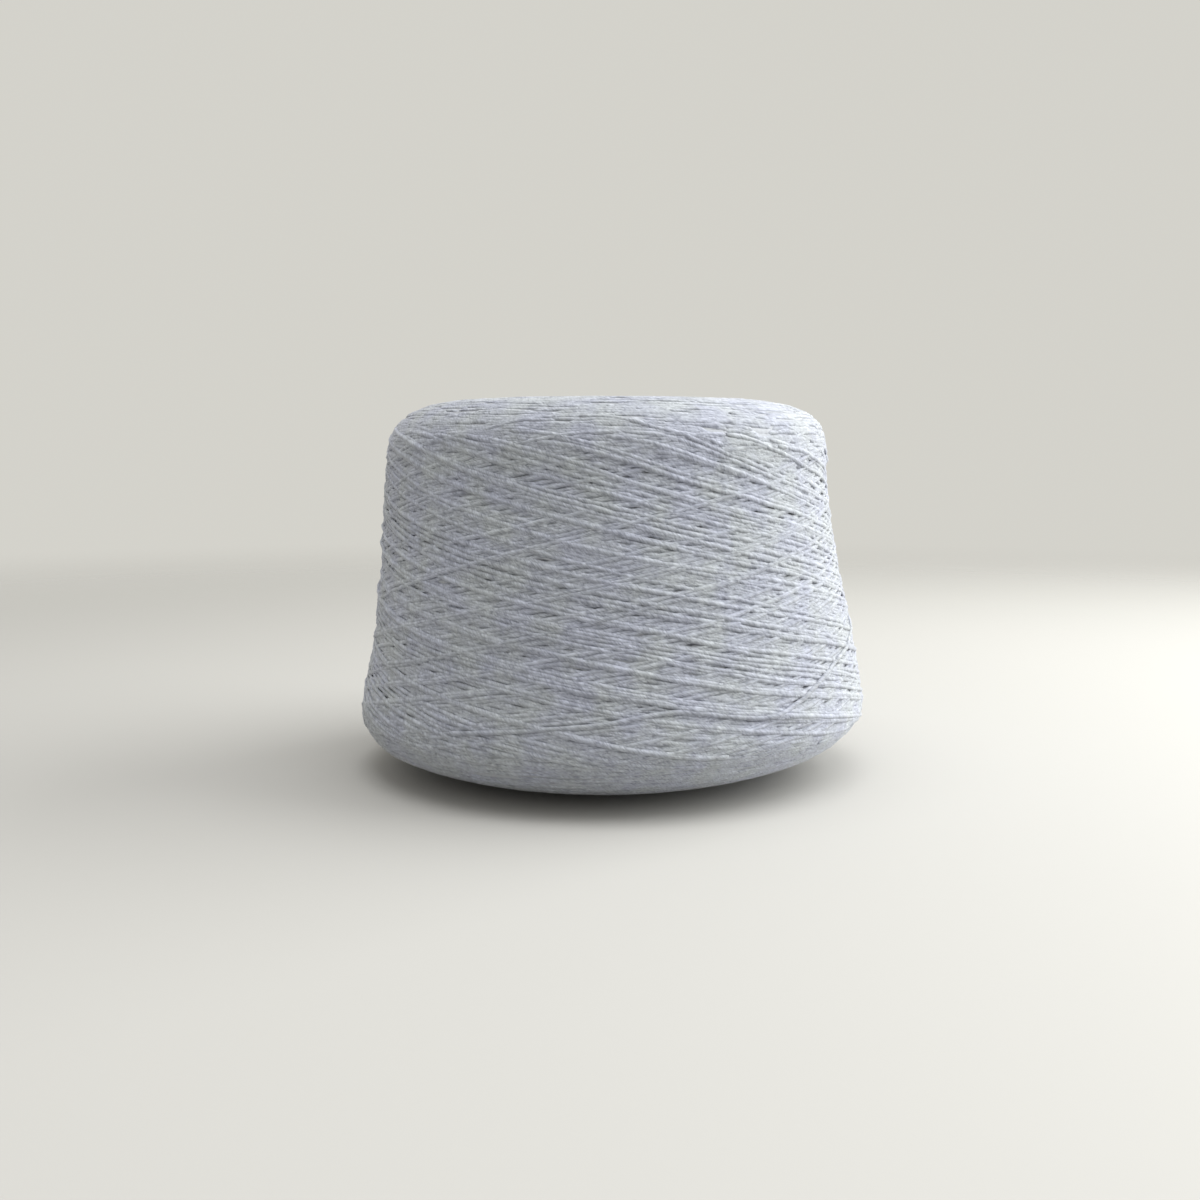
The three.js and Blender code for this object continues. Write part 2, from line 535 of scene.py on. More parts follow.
def lay_bore(winding, pitch):
    """Even strokes both ways along the wall of the bore."""
    form = winding.form
    top = form.station(form.height - BORE_ENDS[1], bore=True)
    bottom = form.station(BORE_ENDS[0], bore=True)
    radius = form.radius_at((top + bottom) / 2)
    span = (bottom - top) / winding.slope / radius
    count = int(TURN * radius * winding.slope / (BORE_PITCH * pitch))
    for way in (1, -1):
        for index in range(count):
            start = TURN * (index + BORE_SCATTER * winding.random.random()) / count
            winding.stroke(
                "bore", start, start + way * span, top, bottom, BORE_BEND, BORE_BEND,
                squash=BORE_SQUASH, dip=BORE_DIP,
            )


def cover(winding, group, band, stations):
    """Lays the short arcs of a band over the form, from its first station to its last, as many as
    cover it the number of times that its table says."""
    form, random = winding.form, winding.random
    arcs = ARCS[band]
    fine = np.linspace(*stations, 400)
    walked = np.cumsum(form.radius_at(fine)) * abs(fine[1] - fine[0]) * TURN
    mean_area = (arcs.shortest + arcs.longest) * MM * winding.diameter
    count = int(arcs.coverage * walked[-1] / mean_area)
    steepness = np.abs(np.gradient(form.mean_height)) / (form.length / form.COLUMNS)
    for index in range(count):
        # equal areas get equal numbers of arcs
        apex = np.interp((index + 0.5) / count * walked[-1], walked, fine)
        apex = apex + random.normal() * (arcs.scatter * MM)
        steep = np.interp(apex % form.length, form.stations, steepness)
        lift = arcs.lying_lift + (arcs.standing_lift - arcs.lying_lift) * steep
        centre = TURN * ((index * GOLDEN_SHARE + ARC_SPREAD * random.normal()) % 1)
        half_length = random.uniform(arcs.shortest, arcs.longest) * MM
        bend = half_length * random.uniform(*ARC_BEND)
        winding.arc(group, centre, apex, half_length, bend, lift, arcs)


def lay_ends(winding):
    """The arcs over the crown and under the base, from the inside out."""
    form = winding.form
    crown = form.station(CROWN_BAND[0], bore=True), form.station(CROWN_BAND[1])
    cover(winding, "crown", "crown", crown)
    cover(winding, "base", "base", (0.0, form.station(BASE_EDGE)))


def lay_edges(winding):
    """The last arcs, over the reversals where the flank meets the crown and the base."""
    form = winding.form
    cover(winding, "shoulder", "shoulder", [form.station(height) for height in SHOULDER_BAND])
    cover(winding, "heel", "heel", [form.station(height) for height in HEEL_BAND])


def lay_lips(winding):
    """Arcs round the two mouths of the bore, which close the winding there."""
    form = winding.form
    cover(winding, "crown", "upper_lip", [form.station(height, bore=True) for height in UPPER_LIP])
    cover(winding, "base", "lower_lip", LOWER_LIP)


def flank_strokes(winding, settings, pitch, layers):
    """The crossing strokes of some layers on the flank, in the order of laying. Each double stroke
    starts more than a turn on from the last, so that a layer closes evenly only when it is full,
    and the next layer starts a share of the pitch further on."""
    form, random = winding.form, winding.random
    middle_radius = form.radius_at(form.station(FLANK_MIDDLE))
    strokes = round(TURN * middle_radius * math.sin(settings.winding_angle) / pitch)
    hop = round(HOP_SHARE * strokes)
    while math.gcd(hop, strokes) > 1:
        hop += 1
    spacing = TURN / strokes
    advance = TURN + hop * spacing + LAYER_OFFSET * spacing / strokes
    laid = []
    angle = 0.0
    bottom = form.station(LOW_REVERSAL)
    for index in range(round(layers * strokes)):
        top = form.station(HIGH_REVERSAL) + random.normal() * HIGH_SCATTER * MM
        next_bottom = form.station(LOW_REVERSAL) + random.normal() * LOW_SCATTER * MM
        bends = random.uniform(*BEND, 3) * MM
        slip = random.normal(size=3) * settings.jitter * spacing
        start, end = angle + slip[0], angle + advance + slip[2]
        half = angle + advance / 2 + slip[1]
        # most falling turns cross over the rising ones
        late = DOWN_LATE * strokes if random.random() < LATE_SHARE else -DOWN_LATE * strokes
        laid.append((index, (start, half, bottom, top, bends[0], bends[1])))
        laid.append((index + late, (half, end, top, next_bottom, bends[1], bends[2])))
        angle, bottom = angle + advance, next_bottom
    laid.sort(key=lambda stroke: stroke[0])
    return [stroke for _, stroke in laid]


def lay_flank(winding, settings):
    """A close bed of pressed turns, then the open crossing layers over it."""
    bed = flank_strokes(winding, settings, BED_PITCH * settings.pitch, 1)
    skin = flank_strokes(winding, settings, settings.pitch, settings.layers)
    strokes = bed + skin
    for index, stroke in enumerate(strokes):
        skin_share = (index - len(bed)) / len(skin)
        opened = smoothstep(skin_share, PRESSED_FROM, PRESSED_TO)
        squash = PRESSED + (settings.squash - PRESSED) * opened
        group = f"flank_{1 + index * FLANK_PIECES // len(strokes)}"
        winding.stroke(group, *stroke, squash=squash, dip=settings.dip)


def lay_late(winding):
    """The few last turns, which stand out over the others."""
    for places in LATE_TURNS:
        follow(winding, places, LATE_SOFTNESS, LATE_SQUASH)
    follow(winding, LOOSE_TURN, LOOSE_SOFTNESS, LOOSE_SQUASH)


def follow(winding, places, softness, squash):
    """Lays a turn through these places, angle and height in degrees and mm, its corners rounded
    over so many steps."""
    form = winding.form
    angles, heights = np.array(places, float).T
    stations = np.array([form.station(height * MM) for height in heights])
    angles = np.radians(angles)
    radius = form.radius_at(stations.mean())
    steps = np.hypot(np.diff(angles) * radius, np.diff(stations))
    knots = np.concatenate([[0], np.cumsum(steps)])
    walked = np.arange(0, knots[-1], winding.STEP)
    angle = blur_open(np.interp(walked, knots, angles), softness)
    station = blur_open(np.interp(walked, knots, stations), softness)
    near_end = np.minimum(walked, knots[-1] - walked)
    sink = winding.diameter * smoothstep(near_end, LATE_END, 0)
    winding.lay(f"flank_{FLANK_PIECES}", angle, station, squash, LATE_DIP, sink)


# ---- Meshes ----


# How far out to the sides a turn is looked for, in half widths, and by how much of its thickness
# others may stand over it there before it counts as hidden.
LOOK_BESIDE = 0.7
COVERED = 0.1
# How many steps each shown stretch goes on under its neighbours, and the fewest that are kept.
MARGIN = 2
SHORTEST_RUN = 4
# How thin a stretch ends, and how low it may lie over the ground.
END_THICKNESS = 0.6
GROUND = 0.05 * MM


def shown_runs(winding, turn, level):
    """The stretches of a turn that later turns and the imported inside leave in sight, a little
    longer at each end."""
    radius = winding.form.radius_at(turn.station)
    along = np.stack([np.gradient(turn.angle) * radius, np.gradient(turn.station)])
    along /= np.maximum(np.hypot(*along), 1e-9)
    seen = np.zeros(len(turn.angle), bool)
    for across in (-LOOK_BESIDE, 0, LOOK_BESIDE):
        offset = across * WIDE * turn.diameter
        row, column = winding.cells(
            turn.angle - along[1] / radius * offset, turn.station + along[0] * offset
        )
        crest = turn.middle + HIGH * math.sqrt(1 - across**2) * turn.diameter
        clear = sample(winding.top, row, column) < crest + COVERED * turn.diameter
        seen |= clear & (crest > sample(level, row, column) - FILL_DEPTH)
    wide = seen.copy()
    for step in range(1, MARGIN + 1):
        wide[step:] |= seen[:-step]
        wide[:-step] |= seen[step:]
    edges = np.flatnonzero(np.diff(np.concatenate([[0], wide.astype(int), [0]])))
    runs = zip(edges[::2], edges[1::2])
    return [(first, last) for first, last in runs if last - first >= SHORTEST_RUN]


def tubes(winding, groups, sides, stride):
    """Open tubes along the shown stretches of these groups' turns: their points, their faces, the
    shade of each point, and for each stretch how far each of its rings lies along it."""
    form = winding.form
    level = winding.level()
    around = TURN * (np.arange(sides) / sides) + math.pi / 2
    points, faces, shades, strips = [], [], [], []
    total = 0
    for turn in winding.turns:
        if turn.group not in groups:
            continue
        for first, last in shown_runs(winding, turn, level):
            keep = np.unique(np.r_[np.arange(first, last - 1, stride), last - 1])
            angle, station = turn.angle[keep], turn.station[keep]
            cell = form.cells(angle, station)
            normal = unit(sample(form.normal, *cell))
            height = turn.middle[keep] - sample(level, *winding.cells(angle, station))
            height = SETTLED * turn.flat * height - SUNK
            spine = sample(form.point, *cell) + normal * height[:, None]
            tangent = unit(np.gradient(spine, axis=0))
            side = unit(np.cross(tangent, normal))
            up = np.cross(side, tangent)
            thick = np.full(len(keep), turn.diameter)
            thick[[0, -1]] *= END_THICKNESS
            # a turn that is pressed flat gets a little wider
            ring = (
                side[:, None] * np.cos(around)[:, None] * WIDE / turn.flat**0.25
                + up[:, None] * np.sin(around)[:, None] * HIGH * turn.flat**0.5
            )
            ring = spine[:, None] + ring * thick[:, None, None]
            count = len(keep)
            points.append(ring.reshape(-1, 3))
            foot = total + np.arange(count - 1)[:, None] * sides
            here = foot + np.arange(sides)
            ahead = foot + (np.arange(sides) + 1) % sides
            quads = np.stack([here, ahead, ahead + sides, here + sides], 2)
            faces.append(quads.reshape(-1, 4))
            lengths = np.linalg.norm(np.diff(spine, axis=0), axis=1)
            strips.append(np.concatenate([[0], np.cumsum(lengths)]))
            shades.append(np.full(count * sides, turn.shade))
            total += count * sides
    return points, faces, shades, strips


# The place of the two closed ends' middles across their strip, and their size in their room.
CAP_PLACES = 0.3, 0.7
CAP_SIZE = 0.4
# How much wider the sheet is than if its strips filled it.
SHEET_SLACK = 1.02


def sheet_places(lengths):
    """Lays strips of these lengths in rows on a square sheet: the left foot of each, and the
    sheet's side."""
    lengths = np.array(lengths) + CAP_ROOM
    row = STRIP_WIDTH + STRIP_MARGIN
    side = max(SHEET_SLACK * math.sqrt(lengths.sum() * row), lengths.max())
    places = np.zeros((len(lengths), 2))
    left, foot = 0.0, 0.0
    for index in np.argsort(-lengths, kind="stable"):
        if left + lengths[index] > side:
            left, foot = 0.0, foot + row
        places[index] = left, foot
        left += lengths[index]
    return places, max(side, foot + row)


def strip_corners(walked, sides):
    """For each corner of a tube's faces, how far it lies along the yarn and round it."""
    along = np.stack([walked[:-1], walked[:-1], walked[1:], walked[1:]], 1)[:, None]
    share = (np.arange(sides)[:, None] + np.array([0, 1, 1, 0])) / sides
    shape = (len(walked) - 1, sides, 4)
    corners = np.broadcast_to(along, shape), np.broadcast_to(share, shape)
    return np.stack(corners, -1).reshape(-1, 2)


def regular(sides):
    """The corners of a regular polygon round 0."""
    turn = TURN * np.arange(sides) / sides
    return np.stack([np.cos(turn), np.sin(turn)], 1)


@functools.cache
def wound():
    """The winding, laid once and shared by the pieces."""
    return wind(yarn())


def add_piece(name, mesh, material):
    """Puts a finished mesh in the scene, riding on the winding in place of its plain form."""
    mesh.materials.append(material)
    piece = bpy.data.objects.new(name, mesh)
    bpy.context.scene.collection.objects.link(piece)
    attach(piece, BODY)
    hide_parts(NODE)


def build_piece(name, groups, sides, stride):
    """One mesh of all the shown yarn in these groups, with closed ends."""
    points, faces, shades, strips = tubes(wound(), groups, sides, stride)
    points = np.concatenate(points)
    points[:, 2] = np.maximum(points[:, 2], GROUND)
    quads = np.concatenate(faces)

    # the closed ends, one many-sided face each
    caps = []
    start = 0
    for walked in strips:
        caps.append(start + np.arange(sides)[::-1])
        start += len(walked) * sides
        caps.append(start - sides + np.arange(sides))
    caps = np.array(caps)

    mesh = bpy.data.meshes.new(name)
    mesh.vertices.add(len(points))
    mesh.vertices.foreach_set("co", points.astype(np.float32).ravel())
    loops = np.concatenate([quads.ravel(), caps.ravel()])
    mesh.loops.add(len(loops))
    mesh.loops.foreach_set("vertex_index", loops.astype(np.int32))
    sizes = np.concatenate([np.full(len(quads), 4), np.full(len(caps), sides)])
    mesh.polygons.add(len(sizes))
    starts = np.concatenate([[0], np.cumsum(sizes)[:-1]])
    mesh.polygons.foreach_set("loop_start", starts.astype(np.int32))
    smooth = np.arange(len(sizes)) < len(quads)
    mesh.polygons.foreach_set("use_smooth", smooth)
    mesh.update(calc_edges=True)

    # where each corner lies on the yarn, and where on the flat sheet of all its strips
    on_yarn, on_sheet, cap_corners = [], [], []
    places, sheet = sheet_places([walked[-1] for walked in strips])
    offset = 0.0
    for walked, (left, foot) in zip(strips, places):
        corners = strip_corners(walked, sides)
        on_yarn.append(corners + (offset, 0))
        on_sheet.append((corners * (1, STRIP_WIDTH) + (left, foot)) / sheet)
        for place in CAP_PLACES:
            middle = left + walked[-1] + CAP_ROOM / 2, foot + place * STRIP_WIDTH
            cap_corners.append((CAP_ROOM * CAP_SIZE * regular(sides) + middle) / sheet)
        offset += walked[-1] + STRIP_GAP
    plain = np.zeros((caps.size, 2))
    for name_of_map, parts in (("yarn", [*on_yarn, plain]), ("OFBake", on_sheet + cap_corners)):
        layer = mesh.uv_layers.new(name=name_of_map)
        layer.uv.foreach_set("vector", np.concatenate(parts).astype(np.float32).ravel())

    shade = mesh.attributes.new("shade", "FLOAT", "POINT")
    shade.data.foreach_set("value", np.concatenate(shades).astype(np.float32))

    add_piece(name, mesh, yarn_material())


# ---- Materials ----


def maker(tree):
    """A function that adds a maths node to this tree and returns its output."""

    def maths(operation, a, b=None):
        node = tree.nodes.new("ShaderNodeMath")
        node.operation = operation
        for socket, value in zip(node.inputs, (a, b)):
            if isinstance(value, (int, float)):
                socket.default_value = value
            elif value is not None:
                tree.links.new(value, socket)
        return node.outputs[0]

    return maths


def shade_between(tree, value, low, low_colour, high, high_colour):
    """The output of a colour ramp from one colour at low to the other at high."""
    ramp = tree.nodes.new("ShaderNodeValToRGB")
    first, last = ramp.color_ramp.elements
    first.position, first.color = low, (*low_colour, 1)
    last.position, last.color = high, (*high_colour, 1)
    tree.links.new(value, ramp.inputs["Fac"])
    return ramp.outputs["Color"]


def raise_relief(tree, relief, strength, distance):
    """Raises this relief on the tree's shader."""
    bump = tree.nodes.new("ShaderNodeBump")
    bump.inputs["Strength"].default_value = strength
    bump.inputs["Distance"].default_value = distance
    tree.links.new(relief, bump.inputs["Height"])
    tree.links.new(bump.outputs[0], tree.nodes["Principled BSDF"].inputs["Normal"])


# The ply turns once round the yarn over this length, and its relief as a share of the fibres'.
PLY_LENGTH = 6 * MM
PLY_RELIEF = 0.18
# How fast the fibres change along the yarn, per metre, and round it.
FIBRES_ALONG, FIBRES_ROUND = 260.0, 1.1
# How fast lighter and darker lengths follow each other, per metre, and how much they and each
# turn's own shade lighten or darken it.
LENGTHS_ALONG = 330.0
LENGTHS_TINT = 0.35
TURN_TINT = 0.025
# Where the melange passes from its grey to its light fibres.
MELANGE_FROM, MELANGE_TO = 0.44, 0.92
# Between which two hues the package drifts.
COOL_HUE = 0.932, 0.945, 1.025
WARM_HUE = 0.985, 1.005, 0.98


def yarn_material():
    """Soft melange yarn: light and grey fibres drawn out along the twist of each strand."""
    name = "melange_yarn"
    if name in bpy.data.materials:
        return bpy.data.materials[name]
    settings = yarn()
    material = bpy.data.materials.new(name)
    material.use_nodes = True
    tree = material.node_tree
    nodes, links = tree.nodes, tree.links
    maths = maker(tree)
    shader = nodes["Principled BSDF"]
    shader.inputs["Roughness"].default_value = 0.85
    shader.inputs["Sheen Weight"].default_value = 0.25
    shader.inputs["Sheen Roughness"].default_value = 0.5

    place = nodes.new("ShaderNodeUVMap")
    place.uv_map = "yarn"
    split = nodes.new("ShaderNodeSeparateXYZ")
    links.new(place.outputs[0], split.inputs[0])

    # turned with the ply, then laid out as a ring so that it closes round the yarn
    twist = maths("ADD", split.outputs[1], maths("MULTIPLY", split.outputs[0], 1 / PLY_LENGTH))
    turn = maths("MULTIPLY", twist, TURN)
    across = nodes.new("ShaderNodeCombineXYZ")
    links.new(maths("MULTIPLY", split.outputs[0], FIBRES_ALONG), across.inputs[0])
    links.new(maths("MULTIPLY", maths("COSINE", turn), FIBRES_ROUND), across.inputs[1])
    links.new(maths("MULTIPLY", maths("SINE", turn), FIBRES_ROUND), across.inputs[2])

    fibres = nodes.new("ShaderNodeTexNoise")
    fibres.inputs["Scale"].default_value = 1.6
    fibres.inputs["Detail"].default_value = 3.0
    fibres.inputs["Roughness"].default_value = 0.6
    links.new(across.outputs[0], fibres.inputs["Vector"])

    tint = nodes.new("ShaderNodeAttribute")
    tint.attribute_name = "shade"

    # light and dark lengths, where the melange gathers along the yarn
    lengths = nodes.new("ShaderNodeTexNoise")
    lengths.noise_dimensions = "2D"
    lengths.inputs["Scale"].default_value = 1.0
    lengths.inputs["Detail"].default_value = 1.5
    spot = nodes.new("ShaderNodeCombineXYZ")
    links.new(maths("MULTIPLY", split.outputs[0], LENGTHS_ALONG), spot.inputs[0])
    links.new(tint.outputs["Fac"], spot.inputs[1])
    links.new(spot.outputs[0], lengths.inputs["Vector"])

    blend = maths("ADD", fibres.outputs["Fac"], maths("MULTIPLY", tint.outputs["Fac"], TURN_TINT))
    blend = maths("ADD", blend, maths("MULTIPLY", lengths.outputs["Fac"], LENGTHS_TINT))

    colours = MELANGE_FROM, settings.dark_fibre, MELANGE_TO, settings.light_fibre
    melange = shade_between(tree, blend, *colours)

    # broad drifts of colour over the package
    where = nodes.new("ShaderNodeTexCoord")
    drift = nodes.new("ShaderNodeTexNoise")
    drift.inputs["Scale"].default_value = 75.0
    drift.inputs["Detail"].default_value = 2.0
    links.new(where.outputs["Object"], drift.inputs["Vector"])
    hues = shade_between(tree, drift.outputs["Fac"], 0.36, COOL_HUE, 0.64, WARM_HUE)
    dyed = nodes.new("ShaderNodeMix")
    dyed.data_type = "RGBA"
    dyed.blend_type = "MULTIPLY"
    dyed.inputs["Factor"].default_value = 1.0
    links.new(melange, dyed.inputs["A"])
    links.new(hues, dyed.inputs["B"])
    links.new(dyed.outputs["Result"], shader.inputs["Base Color"])

    ply = maths("SINE", maths("MULTIPLY", twist, 2 * TURN))
    relief = maths("ADD", maths("MULTIPLY", ply, PLY_RELIEF), fibres.outputs["Fac"])
    raise_relief(tree, relief, strength=0.5, distance=0.12 * MM)
    return material


# Over its ends the inner winding has rings round the package: how many for each crossing turn,
# and their lowest level and height as shares of a crossing turn's.
END_RINGS = 1.5
RING_LOW, RING_HEIGHT = 0.6, 0.35
# How much the fibres add to its relief.
INNER_FUZZ = 0.6
# Painted shade: the inner winding is the same yarn, coloured darker than the outer turns for the shade
# in the gaps between them, more in its hollows than on its ridges.
HOLLOW_PAINTED_SHADE, RIDGE_PAINTED_SHADE = 0.6, 0.8


def inner_material(turns, pitch):
    """The earlier layers, as two crossing families of rounded ridges: so many turns start round the
    package, and each family lies a pitch apart. Their colour is painted shade: darker than the yarn,
    and darkest in the hollows."""
    settings = yarn()
    material = bpy.data.materials.new("inner_yarn")
    material.use_nodes = True
    tree = material.node_tree
    nodes, links = tree.nodes, tree.links
    shader = nodes["Principled BSDF"]
    shader.inputs["Roughness"].default_value = 0.9
    maths = maker(tree)

    place = nodes.new("ShaderNodeUVMap")
    place.uv_map = "package"
    split = nodes.new("ShaderNodeSeparateXYZ")
    links.new(place.outputs[0], split.inputs[0])
    starts = maths("MULTIPLY", split.outputs[0], float(turns))
    rows = maths("MULTIPLY", split.outputs[1], math.cos(settings.winding_angle) / pitch)
    ridges = []
    for family in ("ADD", "SUBTRACT"):
        across = maths("MULTIPLY", maths(family, starts, rows), math.pi)
        ridges.append(maths("ABSOLUTE", maths("SINE", across)))
    crossing = maths("MAXIMUM", *ridges)
    # over the ends the turns run round the package
    ends = nodes.new("ShaderNodeAttribute")
    ends.attribute_name = "ends"
    rings = maths("ABSOLUTE", maths("SINE", maths("MULTIPLY", rows, END_RINGS * math.pi)))
    rings = maths("ADD", maths("MULTIPLY", rings, RING_HEIGHT), RING_LOW)
    change = maths("MULTIPLY", maths("SUBTRACT", rings, crossing), ends.outputs["Fac"])
    ridge = maths("ADD", crossing, change)

    spot = nodes.new("ShaderNodeTexCoord")
    noise = nodes.new("ShaderNodeTexNoise")
    noise.inputs["Scale"].default_value = 500.0
    noise.inputs["Detail"].default_value = 3.0
    links.new(spot.outputs["Object"], noise.inputs["Vector"])
    relief = maths("ADD", ridge, maths("MULTIPLY", noise.outputs["Fac"], INNER_FUZZ))
    # painted shade: the hollows take the darkened grey fibre and the ridges the darkened light fibre
    dark = [HOLLOW_PAINTED_SHADE * share for share in settings.dark_fibre]
    light = [RIDGE_PAINTED_SHADE * share for share in settings.light_fibre]
    links.new(shade_between(tree, relief, 0.75, dark, 1.0, light), shader.inputs["Base Color"])
    raise_relief(tree, relief, strength=0.8, distance=0.6 * MM)
    return material


# ---- Operators ----

# The heights between which the inner winding comes up to the skin of the crown, and of the base.
CROWN_RISE = 128 * MM, 142 * MM
BASE_RISE = 30 * MM, 18 * MM
# The inner winding's lowest height over the ground.
INNER_GROUND = 0.3 * MM


class CONE_OT_inner_winding(bpy.types.Operator):
    """Model the earlier layers of the winding, which show between the turns"""

    bl_idname = "cone.inner_winding"
    bl_label = "Inner winding"

    def execute(self, context):
        winding = wound()
        form = winding.form
        rows, columns = form.ROWS // INNER_SKIP[0], form.COLUMNS // INNER_SKIP[1]
        row, column = np.meshgrid(np.arange(rows), np.arange(columns), indexing="ij")

        # just under the turns, and closer to the skin over the crown and base
        level = winding.level()
        deep = sample(level, row * winding.ROWS / rows, column * winding.COLUMNS / columns)
        deep = SETTLED * np.minimum(deep + UNDER_SKIN, FILL_DEPTH) + LEAST_DEPTH
        height = form.mean_height
        ends = smoothstep(height, *CROWN_RISE) + smoothstep(height, *BASE_RISE)
        outside = form.mean_radius > form.ring
        deep = deep + (END_DEPTH - deep) * (ends * outside)[:: INNER_SKIP[1]]
        every = slice(None, None, INNER_SKIP[0]), slice(None, None, INNER_SKIP[1])
        points = form.point[every] - form.normal[every] * deep[..., None]
        points[..., 2] = np.maximum(points[..., 2], INNER_GROUND)

        index = np.arange(rows * columns).reshape(rows, columns)
        right, up = np.roll(index, -1, 0), np.roll(index, -1, 1)
        corner = np.roll(right, -1, 1)
        quads = np.stack([index, right, corner, up], 2).reshape(-1, 4)
        mesh = bpy.data.meshes.new("inner_winding")
        mesh.from_pydata(points.reshape(-1, 3).tolist(), [], quads.tolist())
        mesh.shade_smooth()

        share = mesh.attributes.new("ends", "FLOAT", "POINT")
        ends = np.broadcast_to(ends[:: INNER_SKIP[1]], (rows, columns))
        share.data.foreach_set("value", ends.astype(np.float32).ravel())
        round_share = (row[..., None] + np.array([0, 1, 1, 0])) / rows
        station = (column[..., None] + np.array([0, 0, 1, 1])) / columns * form.length
        for name_of_map, stations in (("package", station), ("OFBake", station / form.length)):
            place = mesh.uv_layers.new(name=name_of_map)
            corners = np.stack([round_share, stations], -1)
            place.uv.foreach_set("vector", corners.astype(np.float32).ravel())

        pitch = yarn().pitch
        turns = round(TURN * form.mean_radius.max() * math.sin(yarn().winding_angle) / pitch)
        add_piece("inner_winding", mesh, inner_material(turns, pitch))
        return {"FINISHED"}


class CONE_OT_flank_turns(bpy.types.Operator):
    """Lay the crossing turns of the flank"""

    bl_idname = "cone.flank_turns"
    bl_label = "Flank turns"

    def execute(self, context):
        for layer in range(1, FLANK_PIECES + 1):
            stride = COARSE_STRIDE if 2 * layer <= FLANK_PIECES else FINE_STRIDE
            build_piece(f"flank_turns_{layer}", {f"flank_{layer}"}, SIDES, stride)
        return {"FINISHED"}


class CONE_OT_end_turns(bpy.types.Operator):
    """Lay the turns over the crown and under the base"""

    bl_idname = "cone.end_turns"
    bl_label = "End turns"

    def execute(self, context):
        build_piece("crown_turns", {"crown", "shoulder"}, SIDES, COARSE_STRIDE)
        build_piece("base_turns", {"base", "heel"}, SIDES, COARSE_STRIDE)
        return {"FINISHED"}


class CONE_OT_bore_turns(bpy.types.Operator):
    """Lay the turns along the wall of the bore"""

    bl_idname = "cone.bore_turns"
    bl_label = "Bore turns"

    def execute(self, context):
        build_piece("bore_turns", {"bore"}, BORE_SIDES, COARSE_STRIDE)
        return {"FINISHED"}


# ---- Stage ----

FLOOR_RADIUS = 2.6
# The floor fades out between these distances from its middle, so that no edge shows.
FADE_FROM, FADE_TO = 0.35, 1.5
AIR_COLOUR = 0.62, 0.61, 0.565, 1
AIR_STRENGTH = 1.06
# The square soft lights: where each stands, its side and its colour. They face the cone's middle.
LIGHTS = {
    "key": ((1.05, 0.2, 0.46), 1.4, (0.985, 1, 0.975)),
    "top": ((0.12, -0.18, 1.1), 1.1, (0.97, 0.985, 1)),
}
LIT_POINT = 0, 0, 75 * MM
# Where the camera stands, how many degrees it looks down, and its lens for a square image.
CAMERA = {
    "place": (-5.5 * MM, -559 * MM, 132 * MM),
    "pitch": 6.36,
    "focal_px": 1300,
    "image_px": 1200,
    "sensor": 36.0,
}


def add_light(name, power):
    place, side, colour = LIGHTS[name]
    bpy.ops.object.light_add(type="AREA", location=place)
    light = bpy.context.object
    light.name = name
    light.data.shape = "RECTANGLE"
    light.data.size = light.data.size_y = side
    light.data.energy = power
    light.data.color = colour
    back = Vector(place) - Vector(LIT_POINT)
    light.rotation_euler = back.to_track_quat("Z", "Y").to_euler()


def floor_material(colour):
    """A plain dull floor that fades out with distance."""
    material = bpy.data.materials.new("plain_floor")
    material.use_nodes = True
    nodes, links = material.node_tree.nodes, material.node_tree.links
    shader = nodes["Principled BSDF"]
    shader.inputs["Base Color"].default_value = (*colour, 1)
    shader.inputs["Roughness"].default_value = 0.7
    place = nodes.new("ShaderNodeTexCoord")
    reach = nodes.new("ShaderNodeVectorMath")
    reach.operation = "LENGTH"
    links.new(place.outputs["Object"], reach.inputs[0])
    fade = nodes.new("ShaderNodeMapRange")
    fade.interpolation_type = "SMOOTHSTEP"
    fade.inputs["From Min"].default_value = FADE_FROM
    fade.inputs["From Max"].default_value = FADE_TO
    links.new(reach.outputs["Value"], fade.inputs["Value"])
    clear = nodes.new("ShaderNodeBsdfTransparent")
    mix = nodes.new("ShaderNodeMixShader")
    links.new(fade.outputs["Result"], mix.inputs[0])
    links.new(shader.outputs[0], mix.inputs[1])
    links.new(clear.outputs[0], mix.inputs[2])
    links.new(mix.outputs[0], nodes["Material Output"].inputs["Surface"])
    return material


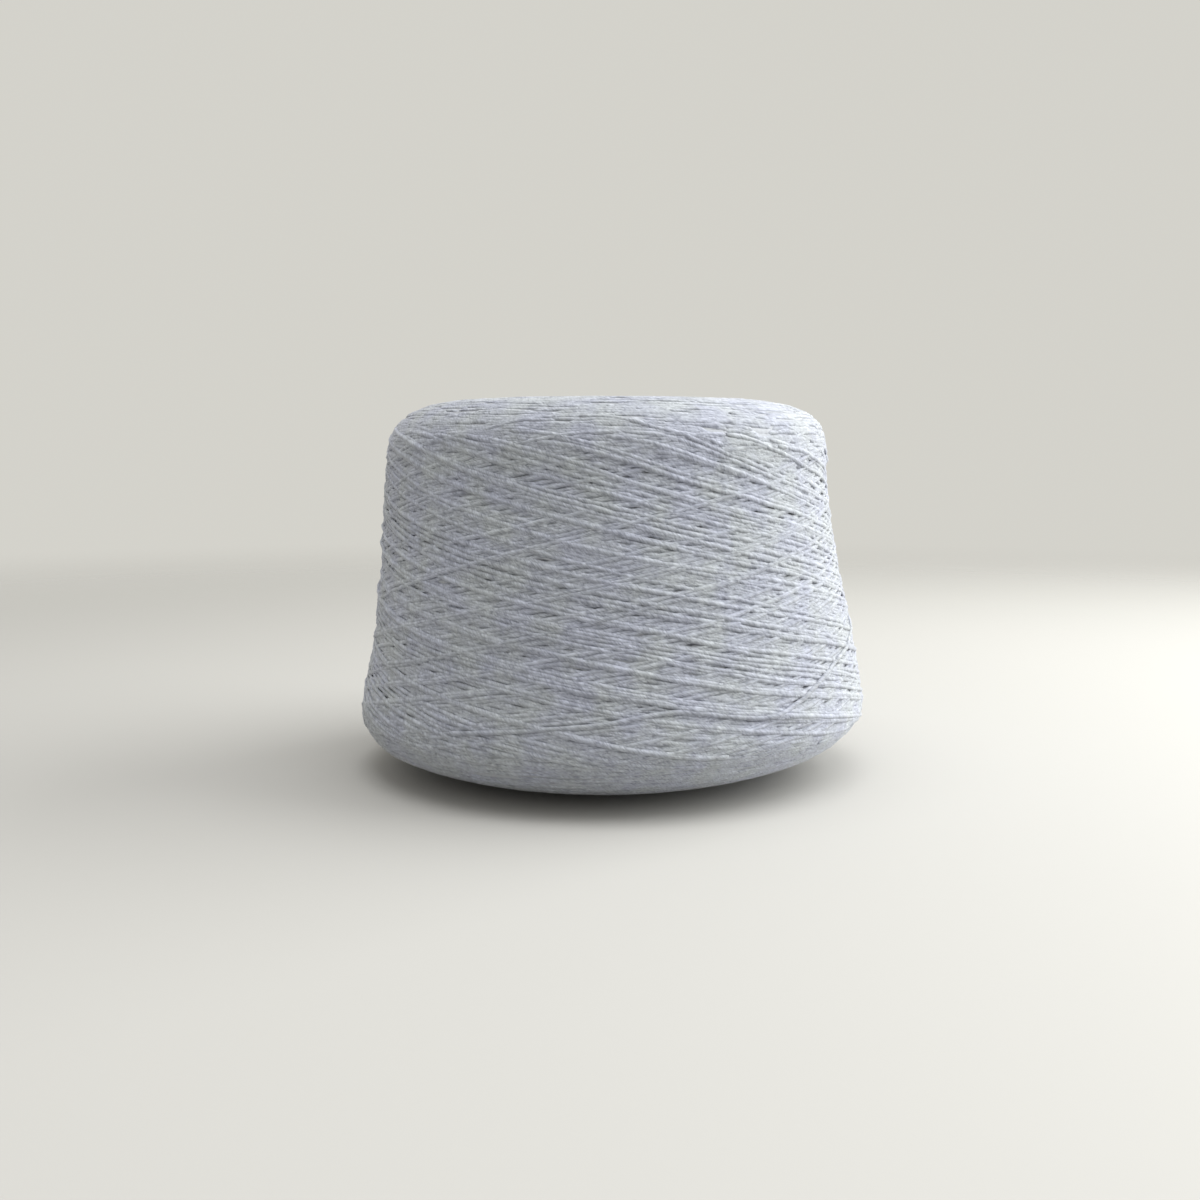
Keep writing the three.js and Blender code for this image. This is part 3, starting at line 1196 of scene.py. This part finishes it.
class CONE_OT_stage(bpy.types.Operator):
    """Set the floor, the soft lights and the camera"""

    bl_idname = "cone.stage"
    bl_label = "Stage"

    def execute(self, context):
        scene = context.scene
        settings = scene.cone_stage
        bpy.ops.object.select_all(action="DESELECT")
        bpy.ops.mesh.primitive_circle_add(vertices=96, radius=FLOOR_RADIUS, fill_type="NGON")
        floor = context.object
        floor.name = "floor"
        floor.data.materials.append(floor_material(settings.floor_colour))

        if scene.world is None:
            scene.world = bpy.data.worlds.new("studio")
        scene.world.use_nodes = True
        air = scene.world.node_tree.nodes["Background"]
        air.inputs["Color"].default_value = AIR_COLOUR
        air.inputs["Strength"].default_value = AIR_STRENGTH
        add_light("key", settings.key_power)
        add_light("top", settings.top_power)

        camera_data = bpy.data.cameras.new("camera")
        camera = bpy.data.objects.new("camera", camera_data)
        scene.collection.objects.link(camera)
        camera.location = CAMERA["place"]
        camera.rotation_euler = (math.radians(90 - CAMERA["pitch"]), 0, 0)
        camera_data.sensor_width = CAMERA["sensor"]
        camera_data.lens = CAMERA["sensor"] * CAMERA["focal_px"] / CAMERA["image_px"]
        scene.camera = camera
        scene.view_settings.view_transform = "Standard"
        return {"FINISHED"}


class CONE_PT_panel(bpy.types.Panel):
    """Lists the cone's pieces in the sidebar"""

    bl_idname = "CONE_PT_panel"
    bl_label = "Cone of yarn"
    bl_space_type = "VIEW_3D"
    bl_region_type = "UI"
    bl_category = "Yarn"

    def draw(self, context):
        for settings in (context.scene.cone_yarn, context.scene.cone_stage):
            for name in settings.__annotations__:
                self.layout.prop(settings, name)
        for operator in OPERATORS:
            self.layout.operator(operator.bl_idname)


OPERATORS = (
    CONE_OT_inner_winding,
    CONE_OT_bore_turns,
    CONE_OT_end_turns,
    CONE_OT_flank_turns,
    CONE_OT_stage,
)
CLASSES = (YarnSettings, StageSettings, *OPERATORS, CONE_PT_panel)


def register():
    for cls in CLASSES:
        bpy.utils.register_class(cls)
    bpy.types.Scene.cone_yarn = bpy.props.PointerProperty(type=YarnSettings)
    bpy.types.Scene.cone_stage = bpy.props.PointerProperty(type=StageSettings)


def unregister():
    del bpy.types.Scene.cone_yarn
    del bpy.types.Scene.cone_stage
    for cls in reversed(CLASSES):
        bpy.utils.unregister_class(cls)


def main():
    register()
    bpy.ops.cone.inner_winding()
    bpy.ops.cone.bore_turns()
    bpy.ops.cone.end_turns()
    bpy.ops.cone.flank_turns()
    bpy.ops.cone.stage()


if __name__ == "__main__":
    main()
